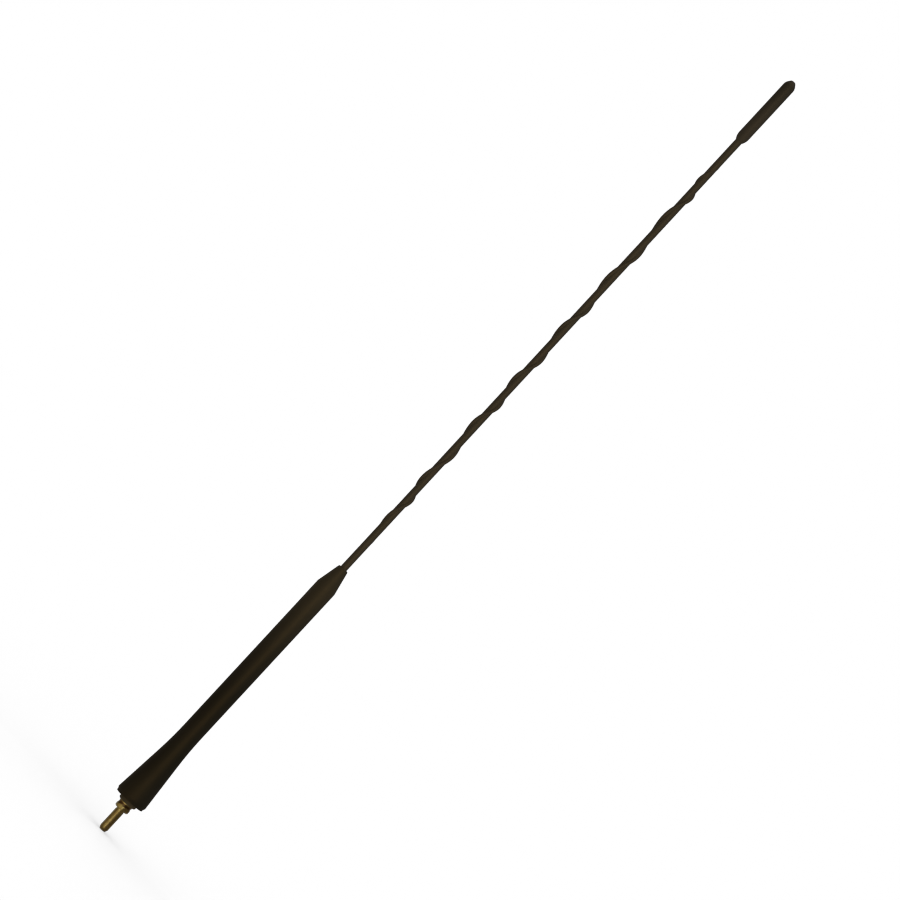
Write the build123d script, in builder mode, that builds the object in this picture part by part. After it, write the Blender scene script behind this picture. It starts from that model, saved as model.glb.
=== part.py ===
"""Car mast aerial: brass stud, flared rubber base sleeve, whip with a spiral ridge, tip cap.

Millimetres. The mast stands along +Z, and z = 0 is the underside of the hexagon, the face
that is screwed down on the socket in the car body.
"""

import os
from math import cos, pi, radians, sin

from build123d import *

os.makedirs("parts", exist_ok=True)

# Fits between the pieces
slide_clearance = 0.05  # gap at each side between pieces that slide together
end_clearance = 0.2  # gap at the blind end of a socket

# Mounting stud, turned from hexagonal brass bar
thread_diameter = 5.0
thread_length = 15.0
thread_tip_chamfer = 0.6
hex_across_flats = 8.0
hex_height = 3.3
hex_face_diameter = 7.5  # round end faces left by the turned chamfer
hex_chamfer = 0.45
bead_diameter = 8.2
bead_height = 1.2
bead_chamfer = 0.4
tang_across_flats = 5.5  # hexagonal tang that keys the stud into the former
tang_length = 28.0

# Seal ring between the stud and the foot of the sleeve
ring_diameter = 11.0
ring_height = 2.25
ring_chamfer = 0.8

# Base sleeve, moulded in rubber
sleeve_length = 170.25
sleeve_diameter = 11.9
sleeve_bore = 8.2
foot_diameter = 19.0
foot_rim_height = 2.6  # underside of the foot to its widest place
lip_diameter = 17.6
lip_height = 1.0
flare_length = 41.0  # underside of the foot to where the cone would meet the cylinder
waist_radius = 215.0
shoulder_length = 13.8  # tapered top of the sleeve
neck_diameter = 5.9
neck_grip = 29.0  # length of whip held in the top of the sleeve

# Coil former, moulded in nylon
core_diameter = 5.6
socket_floor = 3.0  # web between the socket for the tang and the core
upper_collar_length = 9.0
pocket_depth = 8.0  # pocket for the tail of the ferrule

# Loading coil, close-wound from enamelled copper wire, its turns drawn as one solid
coil_wire = 0.5
coil_end_gap = 2.0  # winding to collar, at each end

# Whip ferrule, turned from brass
ferrule_length = 22.0
tail_across_flats = 3.0  # hexagonal tail that keys it into the former
rod_socket_depth = 16.0

# Whip: steel rod in a moulded sheath
rod_diameter = 2.6
sheath_diameter = 3.9
whip_reach = 358.0  # top of the sleeve to the tip of the mast

# Spiral ridge of the sheath
spiral_start = 37.2  # top of the sleeve to the first crest that shows from the front
ridge_height = 1.15
crown_radius = 1.15
crown_flats = 3  # narrow flats that make up the round top
flank_angle = 75.0  # from the crest to where the crown runs out into the flank, in degrees
flank_depth = 0.9  # the flanks run on into the sheath, this far below the crown's centre
end_depth = 0.05  # the ridge ends this far under the face of the sheath
fade_half_turns = 0.8  # half turns in which it sinks there, before and after its end crests
path_steps = 3  # points on the spiral for each half turn
# Rise of each half turn from the first crest up: the real spiral is uneven
half_turn_rises = (14.5, 13.5, 19.5, 20.5, 16.0, 17.0, 16.5, 20.5, 16.5, 20.5, 20.0, 24.5, 17.5, 11.0)

# Tip cap, moulded
cap_diameter = 6.6
cap_length = 43.5
cap_mouth_wall = 0.35
cap_break_diameter = 6.0  # where the steep part of the shoulder turns into the long part
cap_break_height = 1.7
cap_shoulder_length = 4.9
cap_bore_depth = 28.0

# Heights of the stack, from the bottom up
bead_top = hex_height + bead_height
tang_top = bead_top + tang_length
foot_bottom = bead_top + ring_height
lip_top = foot_bottom + lip_height
waist_height = foot_bottom + flare_length
sleeve_top = foot_bottom + sleeve_length
shoulder_bottom = sleeve_top - shoulder_length
ferrule_top = sleeve_top - neck_grip
former_top = ferrule_top - ferrule_length
socket_top = tang_top + end_clearance
core_bottom = socket_top + socket_floor
core_top = former_top - upper_collar_length
winding_bottom = core_bottom + coil_end_gap
winding_top = core_top - coil_end_gap
tip = sleeve_top + whip_reach
cap_bottom = tip - cap_length
whip_top = cap_bottom + cap_bore_depth - end_clearance

# Radii and widths that mating pieces share
collar_radius = sleeve_bore / 2 - slide_clearance
tang_socket_width = tang_across_flats + 2 * slide_clearance
rod_bore_radius = rod_diameter / 2 + slide_clearance
sheath_bore_radius = sheath_diameter / 2 + slide_clearance
winding_radius = core_diameter / 2 + slide_clearance + coil_wire / 2
slot_floor = core_diameter / 2
slot_width = coil_wire + 2 * slide_clearance


def hexagon(across_flats):
    """Hexagon with a corner to the front, for the spanner flats, the keyed ends and their sockets."""
    return RegularPolygon(across_flats / 2, 6, major_radius=False, rotation=30)


def save(piece, name):
    """Label a finished piece and write it to its own file."""
    piece.label = name
    export_step(piece, f"parts/{name}.step")


# Mounting stud
with BuildPart() as mounting_stud:
    with BuildSketch():
        hexagon(hex_across_flats)
    extrude(amount=hex_height)
    corner_radius = hex_across_flats / 2 / cos(pi / 6)
    with BuildSketch(Plane.XZ):
        with BuildLine():
            Polyline(
                (0, 0),
                (hex_face_diameter / 2, 0),
                (corner_radius, hex_chamfer),
                (corner_radius, hex_height - hex_chamfer),
                (hex_face_diameter / 2, hex_height),
                (0, hex_height),
                close=True,
            )
        make_face()
    revolve(axis=Axis.Z, mode=Mode.INTERSECT)
    with BuildSketch():
        Circle(thread_diameter / 2)
    extrude(amount=-thread_length)
    chamfer(mounting_stud.edges().group_by(Axis.Z)[0], thread_tip_chamfer)
    with BuildSketch(Plane.XZ) as bead_section:
        with Locations((0, hex_height)):
            Rectangle(bead_diameter / 2, bead_height, align=Align.MIN)
        chamfer(bead_section.vertices().group_by(Axis.X)[-1], bead_chamfer)
    revolve(axis=Axis.Z)
    with BuildSketch(Plane.XY.offset(bead_top)):
        hexagon(tang_across_flats)
    extrude(amount=tang_length)
save(mounting_stud.part, "mounting_stud")

# Seal ring
with BuildPart() as seal_ring:
    with BuildSketch(Plane.XY.offset(bead_top)):
        Circle(ring_diameter / 2)
    extrude(amount=ring_height)
    chamfer(seal_ring.edges().group_by(Axis.Z)[0], ring_chamfer)
    with BuildSketch(Plane.XY.offset(bead_top)):
        hexagon(tang_socket_width)
    extrude(amount=ring_height, mode=Mode.SUBTRACT)
save(seal_ring.part, "seal_ring")

# Base sleeve
with BuildPart() as base_sleeve:
    with BuildSketch(Plane.XZ) as sleeve_section:
        with BuildLine():
            Polyline(
                (0, foot_bottom),
                (lip_diameter / 2, foot_bottom),
                (lip_diameter / 2, lip_top),
                (foot_diameter / 2, foot_bottom + foot_rim_height),
                (sleeve_diameter / 2, waist_height),
                (sleeve_diameter / 2, shoulder_bottom),
                (neck_diameter / 2, sleeve_top),
                (0, sleeve_top),
                close=True,
            )
        make_face()
        waist = sleeve_section.vertices().sort_by_distance((sleeve_diameter / 2, waist_height))[0]
        fillet(waist, waist_radius)
    revolve(axis=Axis.Z)
    with BuildSketch(Plane.XY.offset(foot_bottom)):
        Circle(sleeve_bore / 2)
    extrude(amount=ferrule_top - foot_bottom, mode=Mode.SUBTRACT)
    with BuildSketch(Plane.XY.offset(ferrule_top)):
        Circle(sheath_bore_radius)
    extrude(amount=neck_grip, mode=Mode.SUBTRACT)
save(base_sleeve.part, "base_sleeve")

# Coil former
with BuildPart() as coil_former:
    with BuildSketch(Plane.XY.offset(foot_bottom)):
        Circle(collar_radius)
    extrude(amount=former_top - foot_bottom)
    with BuildSketch(Plane.XY.offset(core_bottom)):
        Circle(collar_radius)
        Circle(core_diameter / 2, mode=Mode.SUBTRACT)
    extrude(amount=core_top - core_bottom, mode=Mode.SUBTRACT)
    with BuildSketch(Plane.XY.offset(foot_bottom)):
        hexagon(tang_socket_width)
    extrude(amount=socket_top - foot_bottom, mode=Mode.SUBTRACT)
    with BuildSketch(Plane.XY.offset(former_top)):
        hexagon(tail_across_flats + 2 * slide_clearance)
    extrude(amount=-pocket_depth, mode=Mode.SUBTRACT)
    for collar_bottom, collar_top in ((foot_bottom, core_bottom), (core_top, former_top)):
        with BuildSketch(Plane.XY.offset(collar_bottom)):
            with Locations((slot_floor, 0)):
                Rectangle(collar_radius, slot_width, align=(Align.MIN, Align.CENTER))
        extrude(amount=collar_top - collar_bottom, mode=Mode.SUBTRACT)
save(coil_former.part, "coil_former")

# Loading coil, with a straight lead from each end through the slot of its collar
with BuildPart() as loading_coil:
    with BuildSketch(Plane.XY.offset(winding_bottom)):
        Circle(winding_radius + coil_wire / 2)
        Circle(winding_radius - coil_wire / 2, mode=Mode.SUBTRACT)
    extrude(amount=winding_top - winding_bottom)
    for lead_bottom, lead_top in ((foot_bottom, winding_bottom), (winding_top, former_top)):
        with BuildSketch(Plane.XY.offset(lead_bottom)):
            with Locations((winding_radius, 0)):
                Rectangle(coil_wire, coil_wire)
        extrude(amount=lead_top - lead_bottom)
save(loading_coil.part, "loading_coil")

# Whip ferrule
with BuildPart() as whip_ferrule:
    with BuildSketch(Plane.XY.offset(former_top)):
        Circle(collar_radius)
    extrude(amount=ferrule_length)
    with BuildSketch(Plane.XY.offset(former_top)):
        hexagon(tail_across_flats)
    extrude(amount=end_clearance - pocket_depth)
    with BuildSketch(Plane.XY.offset(ferrule_top)):
        Circle(rod_bore_radius)
    extrude(amount=-rod_socket_depth, mode=Mode.SUBTRACT)
save(whip_ferrule.part, "whip_ferrule")

# Whip rod
with BuildPart() as whip_rod:
    with BuildSketch(Plane.XY.offset(ferrule_top - rod_socket_depth)):
        Circle(rod_diameter / 2)
    extrude(amount=whip_top - ferrule_top + rod_socket_depth)
save(whip_rod.part, "whip_rod")

# Sheath with its spiral ridge
last_half_turn = len(half_turn_rises) - 1


def spiral_height(half_turns):
    """Height of the spiral some half turns above its first crest: cubic in each, without kinks."""
    index = min(max(int(half_turns // 1), 0), last_half_turn)
    rise = half_turn_rises[index]
    slope_in = (half_turn_rises[max(index - 1, 0)] + rise) / 2
    slope_out = (rise + half_turn_rises[min(index + 1, last_half_turn)]) / 2
    along = half_turns - index
    height = sleeve_top + spiral_start + sum(half_turn_rises[:index])
    if along < 0:
        return height + slope_in * along
    if along > 1:
        return height + rise + slope_out * (along - 1)
    bend = 3 * rise - 2 * slope_in - slope_out
    twist = slope_in + slope_out - 2 * rise
    return height + slope_in * along + bend * along**2 + twist * along**3


def spiral_point(half_turns):
    """Point on the crown's centre line, which sinks towards the rod at both ends of the spiral."""
    from_end = min(half_turns, len(half_turn_rises) - half_turns)
    share = min((from_end + fade_half_turns) / (2 * fade_half_turns), 1)
    sunk = 1 - share * share * (3 - 2 * share)
    radius = sheath_diameter / 2 + ridge_height - crown_radius - (ridge_height + end_depth) * sunk
    angle = pi * (1 + half_turns)  # the first crest is on the left as seen from the front
    return (radius * cos(angle), radius * sin(angle), spiral_height(half_turns))


spiral_half_turns = len(half_turn_rises) + 2 * fade_half_turns
point_count = round(spiral_half_turns * path_steps)
spiral_points = []
for i in range(point_count + 1):
    spiral_points.append(spiral_point(spiral_half_turns * i / point_count - fade_half_turns))

flank = radians(flank_angle)
flank_foot = crown_radius * sin(flank) + (crown_radius * cos(flank) + flank_depth) / sin(flank) * cos(flank)
ridge_outline = []
for i in range(crown_flats + 1):
    angle = flank * (2 * i / crown_flats - 1)
    ridge_outline.append((crown_radius * cos(angle), crown_radius * sin(angle)))
ridge_outline += [(-flank_depth, flank_foot), (-flank_depth, -flank_foot)]

with BuildPart() as whip_sheath:
    with BuildSketch(Plane.XY.offset(ferrule_top)):
        Circle(sheath_diameter / 2)
    extrude(amount=whip_top - ferrule_top)
    with BuildLine():
        spiral = Spline(*spiral_points)
    start = spiral @ 0
    with BuildSketch(Plane(start, x_dir=(start.X, start.Y, 0), z_dir=spiral % 0)):
        with BuildLine():
            Polyline(*ridge_outline, close=True)
        make_face()
    sweep(path=spiral, is_frenet=True)
    with BuildSketch(Plane.XY.offset(ferrule_top)):
        Circle(rod_bore_radius)
    extrude(amount=whip_top - ferrule_top, mode=Mode.SUBTRACT)
save(whip_sheath.part, "whip_sheath")

# Tip cap
with BuildPart() as tip_cap:
    with BuildSketch(Plane.XZ):
        with BuildLine():
            Polyline(
                (0, tip),
                (0, cap_bottom),
                (sheath_bore_radius + cap_mouth_wall, cap_bottom),
                (cap_break_diameter / 2, cap_bottom + cap_break_height),
                (cap_diameter / 2, cap_bottom + cap_shoulder_length),
                (cap_diameter / 2, tip - cap_diameter / 2),
            )
            CenterArc((0, tip - cap_diameter / 2), cap_diameter / 2, 0, 90)
        make_face()
    revolve(axis=Axis.Z)
    with BuildSketch(Plane.XY.offset(cap_bottom)):
        Circle(sheath_bore_radius)
    extrude(amount=cap_bore_depth, mode=Mode.SUBTRACT)
save(tip_cap.part, "tip_cap")
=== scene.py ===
"""Looks of a car mast aerial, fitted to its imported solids.

Sizes in the classes are millimetres, and the studio's are metres where they say so. Meshes are metres in the
frame of the solids: the mast stands along +Z, and z = 0 is the underside of the hexagon on its brass stud.
"""

import logging
import math
from abc import ABC, abstractmethod
from collections.abc import Mapping, Sequence
from dataclasses import dataclass, field
from enum import Enum
from itertools import accumulate
from typing import ClassVar

import bmesh
import bpy
from bpy.types import ID, CurveMapping, Material, Node, NodeSocket, NodeTree, Object
from mathutils import Matrix, Vector


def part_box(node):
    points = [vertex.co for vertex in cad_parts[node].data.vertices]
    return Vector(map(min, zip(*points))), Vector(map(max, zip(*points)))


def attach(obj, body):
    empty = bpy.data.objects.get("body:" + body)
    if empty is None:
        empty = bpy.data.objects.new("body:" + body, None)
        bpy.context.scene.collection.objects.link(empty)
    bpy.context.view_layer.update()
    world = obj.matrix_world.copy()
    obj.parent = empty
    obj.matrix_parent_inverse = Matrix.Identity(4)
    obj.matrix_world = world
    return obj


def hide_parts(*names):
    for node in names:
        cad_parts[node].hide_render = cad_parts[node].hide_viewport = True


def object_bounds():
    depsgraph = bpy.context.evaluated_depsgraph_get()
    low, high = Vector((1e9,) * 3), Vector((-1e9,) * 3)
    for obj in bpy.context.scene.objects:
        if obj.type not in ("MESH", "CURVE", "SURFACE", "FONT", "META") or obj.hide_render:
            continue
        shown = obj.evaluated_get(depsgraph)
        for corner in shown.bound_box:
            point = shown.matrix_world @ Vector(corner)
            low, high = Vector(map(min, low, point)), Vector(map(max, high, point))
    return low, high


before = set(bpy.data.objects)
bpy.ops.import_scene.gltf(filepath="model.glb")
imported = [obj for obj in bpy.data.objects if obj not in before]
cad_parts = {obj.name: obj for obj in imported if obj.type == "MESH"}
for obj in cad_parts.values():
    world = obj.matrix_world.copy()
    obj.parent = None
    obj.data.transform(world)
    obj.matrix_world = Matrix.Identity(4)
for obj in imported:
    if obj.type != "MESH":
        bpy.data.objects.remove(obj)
CAD_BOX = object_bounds()

MM = 0.001
BODY = "root"
NOISE_LOW = 0.3  # nearly all of a noise texture lies between this value
NOISE_HIGH = 0.7  # and this one
WAVE_LENGTH = math.pi / 10  # one wave of a wave texture at a scale of 1
MIX_UNDER = 6  # input of a colour mix for the colour below
MIX_OVER = 7  # and for the colour laid over it
MIX_RESULT = 2  # its output
log = logging.getLogger("mast_aerial")

# What an input of a node can get
Feed = Node | NodeSocket | bool | float | Sequence[float]


class Slot(Enum):
    """Material slots of the record."""

    STUD = "stud"
    RING = "ring"
    SLEEVE = "sleeve"
    COIL = "coil"
    SHEATH = "sheath"
    CAP = "cap"


class Ray(Enum):
    """Rays that see the white background, by the names of the Light Path outputs."""

    CAMERA = "Is Camera Ray"
    GLOSSY = "Is Glossy Ray"
    TRANSMISSION = "Is Transmission Ray"


def linear(code: str) -> tuple[float, float, float, float]:
    """Turn an sRGB hex colour into a linear one.

    Args:
        code: Colour such as "1E1A13".

    Returns:
        Red, green, blue and an alpha of 1.
    """
    shares = [int(code[i:i + 2], 16) / 255 for i in (0, 2, 4)]
    red, green, blue = (s / 12.92 if s <= 0.04045 else ((s + 0.055) / 1.055) ** 2.4 for s in shares)
    return red, green, blue, 1.0


def per_metre(size_mm: float) -> float:
    """Texture scale at which one feature of a pattern is this many millimetres long."""
    return 1 / (size_mm * MM)


def add_node(
    tree: NodeTree, kind: str, feeds: Mapping[str | int, Feed] | None = None, **settings: str
) -> Node:
    """Add one node to a tree, with its settings and links.

    Args:
        tree: Material, world or geometry tree that gets the node.
        kind: Identifier of the node's type.
        feeds: What each input gets, by its name or number: a node (its first output), a socket or a value.
        settings: Properties of the node itself.

    Returns:
        The new node.
    """
    node = tree.nodes.new(kind)
    for name, value in settings.items():
        setattr(node, name, value)
    for key, source in (feeds or {}).items():
        if isinstance(source, Node):
            source = source.outputs[0]
        if isinstance(source, NodeSocket):
            tree.links.new(source, node.inputs[key])
        else:
            node.inputs[key].default_value = source
    return node


def add_object(name: str, data: ID) -> Object:
    """Add an object to the scene.

    Args:
        name: Name of the object.
        data: Its mesh, lamp or camera.

    Returns:
        The new object, at the origin.
    """
    made = bpy.data.objects.new(name, data)
    bpy.context.scene.collection.objects.link(made)
    return made


class Finish(ABC):
    """A real material and the way its surface was made."""

    name: str

    @abstractmethod
    def shade(self, tree: NodeTree) -> Node:
        """Add the nodes of the finish.

        Args:
            tree: Empty tree of the material.

        Returns:
            The shader node.
        """

    def material(self) -> Material:
        """Make the finish's material once.

        Returns:
            The new material, or the one that was made before.
        """
        known = bpy.data.materials.get(self.name)
        if known:
            return known
        made = bpy.data.materials.new(self.name)
        made.use_nodes = True
        tree = made.node_tree
        tree.nodes.clear()
        add_node(tree, "ShaderNodeOutputMaterial", {"Surface": self.shade(tree)})
        return made


@dataclass(frozen=True)
class ColourBand:
    """Another colour about one height of the mast: full within its core, and gone at its reach. Used for
    painted shade and light.
    """

    colour: str
    height_mm: float
    core_mm: float
    reach_mm: float

    def amount(self, tree: NodeTree, place: NodeSocket) -> Node:
        """Add the nodes that give how much of the band's colour there is.

        Args:
            tree: Tree of the material.
            place: Output that gives a point's place.

        Returns:
            Node whose first output goes from 1 in the core to 0 at the reach.
        """
        height = add_node(tree, "ShaderNodeSeparateXYZ", {0: place}).outputs["Z"]
        above = add_node(tree, "ShaderNodeMath", {0: height, 1: self.height_mm * MM}, operation="SUBTRACT")
        away = add_node(tree, "ShaderNodeMath", {0: above}, operation="ABSOLUTE")
        return add_node(
            tree,
            "ShaderNodeMapRange",
            {
                "Value": away,
                "From Min": self.core_mm * MM,
                "From Max": self.reach_mm * MM,
                "To Min": 1.0,
                "To Max": 0.0,
            },
            interpolation_type="SMOOTHSTEP",
        )


@dataclass(frozen=True, kw_only=True)
class Surface(Finish):
    """A material with patches of a second colour, perhaps a band of another colour about one height, and a
    fine relief.
    """

    name: str
    colour: str
    patch_colour: str
    patch_mm: float
    relief_mm: float  # real grain and tool lines are a tenth as wide, and are drawn coarser so that they show
    relief_depth_mm: float
    roughness: float
    roughness_spread: float
    # Band of colour about one height; on the stud and the sleeve it is painted shade and painted light
    colour_band: ColourBand | None = None

    def layered(self, tree: NodeTree, place: NodeSocket, patches: Node) -> Feed:
        """Add the nodes that lay the patches, and then the colour band, over the colour.

        Args:
            tree: Tree of the material.
            place: Output that gives a point's place.
            patches: Pattern of the patches.

        Returns:
            Output that gives the mixed colour.
        """
        spread = add_node(
            tree, "ShaderNodeMapRange", {"Value": patches, "From Min": NOISE_LOW, "From Max": NOISE_HIGH}
        )
        layers = [(spread, self.patch_colour)]
        if self.colour_band:
            layers.append((self.colour_band.amount(tree, place), self.colour_band.colour))
        result: Feed = linear(self.colour)
        for share, code in layers:
            mix = add_node(
                tree, "ShaderNodeMix", {0: share, MIX_UNDER: result, MIX_OVER: linear(code)}, data_type="RGBA"
            )
            result = mix.outputs[MIX_RESULT]
        return result

    def feeds(
        self, tree: NodeTree, place: NodeSocket, patches: Node, dulling: Node, relief: Node
    ) -> dict[str | int, Feed]:
        """Add the nodes of colour, roughness and relief.

        Args:
            tree: Tree of the material.
            place: Output that gives a point's place.
            patches: Pattern of the second colour.
            dulling: Pattern that makes the surface rougher.
            relief: Pattern that stands out from the surface.

        Returns:
            What the shader's inputs get, by their names.
        """
        dullness = add_node(
            tree,
            "ShaderNodeMapRange",
            {
                "Value": dulling,
                "To Min": self.roughness - self.roughness_spread,
                "To Max": self.roughness + self.roughness_spread,
            },
        )
        bump = add_node(
            tree, "ShaderNodeBump", {"Height": relief, "Distance": self.relief_depth_mm * MM, "Strength": 1.0}
        )
        return {"Base Color": self.layered(tree, place, patches), "Roughness": dullness, "Normal": bump}


@dataclass(frozen=True, kw_only=True)
class Moulding(Surface):
    """Rubber or plastic from a mould or die: faint patches of colour, and a fine matte grain."""

    specular: float
    sheen: str = "FFFFFF"
    patch_length: float = 3.0  # patches lie along the mast, this many times as long as they are wide
    roughness_spread: float = 0.08

    def shade(self, tree: NodeTree) -> Node:
        """Add patches, grain and shader.

        Args:
            tree: Empty tree of the material.

        Returns:
            The shader node.
        """
        place = add_node(tree, "ShaderNodeTexCoord").outputs["Object"]
        drawn_out = add_node(
            tree, "ShaderNodeMapping", {"Vector": place, "Scale": (1.0, 1.0, 1 / self.patch_length)}
        )
        patches = add_node(
            tree, "ShaderNodeTexNoise", {"Vector": drawn_out, "Scale": per_metre(self.patch_mm)}
        )
        grain = add_node(tree, "ShaderNodeTexNoise", {"Vector": place, "Scale": per_metre(self.relief_mm)})
        feeds = self.feeds(tree, place, patches, dulling=grain, relief=grain)
        feeds["Specular IOR Level"] = self.specular
        feeds["Specular Tint"] = linear(self.sheen)
        return add_node(tree, "ShaderNodeBsdfPrincipled", feeds)


@dataclass(frozen=True, kw_only=True)
class Metal(Surface):
    """Turned, drawn or wound metal: tarnish in patches, and tool lines round it."""

    roughness_spread: float = 0.06
    patch_detail: float = 4.0  # times that the patches are halved
    line_waver: float = 0.6  # how far the tool lines stray from level rings

    def shade(self, tree: NodeTree) -> Node:
        """Add tarnish, tool lines and shader.

        Args:
            tree: Empty tree of the material.

        Returns:
            The shader node.
        """
        place = add_node(tree, "ShaderNodeTexCoord").outputs["Object"]
        tarnish = add_node(
            tree,
            "ShaderNodeTexNoise",
            {"Vector": place, "Scale": per_metre(self.patch_mm), "Detail": self.patch_detail},
        )
        lines = add_node(
            tree,
            "ShaderNodeTexWave",
            {
                "Vector": place,
                "Scale": WAVE_LENGTH * per_metre(self.relief_mm),
                "Distortion": self.line_waver,
            },
            wave_type="BANDS",
            bands_direction="Z",
        )
        feeds = self.feeds(tree, place, tarnish, dulling=tarnish, relief=lines)
        feeds["Metallic"] = 1.0
        return add_node(tree, "ShaderNodeBsdfPrincipled", feeds)


@dataclass(frozen=True)
class Paper(Finish):
    """Plain matte paper of one colour, for the floor."""

    name: str
    colour: str

    def shade(self, tree: NodeTree) -> Node:
        """Add the one shader of the paper and return it."""
        return add_node(tree, "ShaderNodeBsdfDiffuse", {"Color": linear(self.colour)})


@dataclass(frozen=True)
class Card(Finish):
    """Studio card that shows the same colour wherever it is seen, however the lamps stand."""

    name: str
    colour: str

    def shade(self, tree: NodeTree) -> Node:
        """Add the one shader of the card and return it."""
        return add_node(tree, "ShaderNodeEmission", {"Color": linear(self.colour), "Strength": 1.0})


# Black rubber and plastic that have been in the sun throw back a brownish light
SUNNED = "FFC46A"
# Rubber swallows light: a broad weak sheen on near black, with painted light that makes it lighter towards
# the grip end
SLEEVE_RUBBER = Moulding(
    name="moulded_rubber",
    colour="131511",
    patch_colour="171814",
    patch_mm=9.0,
    relief_mm=0.5,
    relief_depth_mm=0.02,
    roughness=0.52,
    specular=0.34,
    sheen=SUNNED,
    # Painted light: the colour grows lighter towards the grip end, as if more light fell there
    colour_band=ColourBand("2C281E", height_mm=190.0, core_mm=0.0, reach_mm=115.0),
)
# The seal is of softer, dull rubber, drawn a lighter grey brown than the sleeve
RING_RUBBER = Moulding(
    name="moulded_seal_rubber",
    colour="3B3526",
    patch_colour="403829",
    patch_mm=3.0,
    relief_mm=0.4,
    relief_depth_mm=0.02,
    roughness=0.55,
    specular=0.25,
    sheen=SUNNED,
)
# The sheath is harder than the rubber and came out of a die, so it is smoother and a shade lighter
SHEATH_PLASTIC = Moulding(
    name="extruded_polyolefin",
    colour="322E24",
    patch_colour="352F25",
    patch_mm=7.0,
    relief_mm=0.5,
    relief_depth_mm=0.016,
    roughness=0.5,
    specular=0.3,
    sheen=SUNNED,
)
# The cap has the matte skin of its mould, and its end is a little darker
CAP_PLASTIC = Moulding(
    name="moulded_polypropylene",
    colour="302C24",
    patch_colour="322D25",
    patch_mm=7.0,
    relief_mm=0.5,
    relief_depth_mm=0.016,
    roughness=0.5,
    specular=0.2,
    sheen=SUNNED,
    colour_band=ColourBand("2B2820", height_mm=535.0, core_mm=0.0, reach_mm=35.0),
)
# Natural nylon is milky, with an even satin skin
NYLON = Moulding(
    name="moulded_natural_nylon",
    colour="D9D3C2",
    patch_colour="E3DECF",
    patch_mm=12.0,
    relief_mm=0.6,
    relief_depth_mm=0.02,
    roughness=0.45,
    specular=0.5,
)
# Brass off the lathe, gone brown in places, with painted shade in the groove under the bead
STUD_BRASS = Metal(
    name="turned_brass_tarnished",
    colour="CBB576",
    patch_colour="A88F58",
    patch_mm=2.2,
    relief_mm=0.35,
    relief_depth_mm=0.003,
    roughness=0.22,
    # Painted shade: the band round the groove under the bead is drawn dark brown
    colour_band=ColourBand("664B2A", height_mm=3.3, core_mm=0.45, reach_mm=0.8),
)
# Brass that the sleeve has kept from the air is still yellow
FERRULE_BRASS = Metal(
    name="turned_brass",
    colour="D5B46A",
    patch_colour="C09C55",
    patch_mm=3.0,
    relief_mm=0.35,
    relief_depth_mm=0.004,
    roughness=0.28,
)
# The enamel on the wire deepens the copper's red, and its gloss runs along each turn
COPPER = Metal(
    name="enamelled_copper_wire",
    colour="B4683A",
    patch_colour="96502A",
    patch_mm=4.0,
    relief_mm=0.5,
    relief_depth_mm=0.001,
    roughness=0.25,
)
# Wire drawn through a die is a cool even grey
STEEL = Metal(
    name="drawn_spring_steel",
    colour="A9ABAE",
    patch_colour="8D8F93",
    patch_mm=4.0,
    relief_mm=0.6,
    relief_depth_mm=0.001,
    roughness=0.3,
)
WHITE_PAPER = Paper("white_paper", "FAFAFA")
WHITE_CARD = Card("white_card", "FFFFFF")
PALE_CARD = Card("pale_card", "A9A08E")
GREY_CARD = Card("grey_card", "7C7668")
DARK_CARD = Card("dark_card", "5B554E")


@dataclass(frozen=True)
class Corner:
    """A corner of a turned outline, in millimetres.

    The run from this corner to the next one is divided into rows no longer than its step, if it has one.
    """

    radius: float
    height: float
    rounding: float = 0.0
    step: float = 0.0


def rounded(corners: Sequence[Corner], closed: bool, bend: float = math.radians(7.5)) -> list[Vector]:
    """Round the corners of an outline and divide its long runs.

    Args:
        corners: Corners in order.
        closed: Whether the last one is joined to the first.
        bend: Largest turn between two points of a rounding, in radians.

    Returns:
        Points of radius and height, in millimetres.
    """
    fewest_parts = 4
    points: list[Vector] = []
    count = len(corners)
    for i, corner in enumerate(corners):
        here = Vector((corner.radius, corner.height))
        arc = [here]
        if corner.rounding and (closed or 0 < i < count - 1):
            before = corners[i - 1]
            after = corners[(i + 1) % count]
            inward = (Vector((before.radius, before.height)) - here).normalized()
            outward = (Vector((after.radius, after.height)) - here).normalized()
            turn = math.pi - inward.angle(outward)
            cut = corner.rounding * math.tan(turn / 2)
            middle = here + (inward + outward).normalized() * corner.rounding / math.cos(turn / 2)
            first = here + inward * cut - middle
            last = here + outward * cut - middle
            parts = max(fewest_parts, math.ceil(turn / bend))
            arc = [middle + first.slerp(last, k / parts) * corner.rounding for k in range(parts + 1)]
        if points and corners[i - 1].step:
            start = points[-1]
            rows = math.ceil((arc[0] - start).length / corners[i - 1].step)
            points += [start.lerp(arc[0], k / rows) for k in range(1, rows)]
        points += arc
    return points


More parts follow.
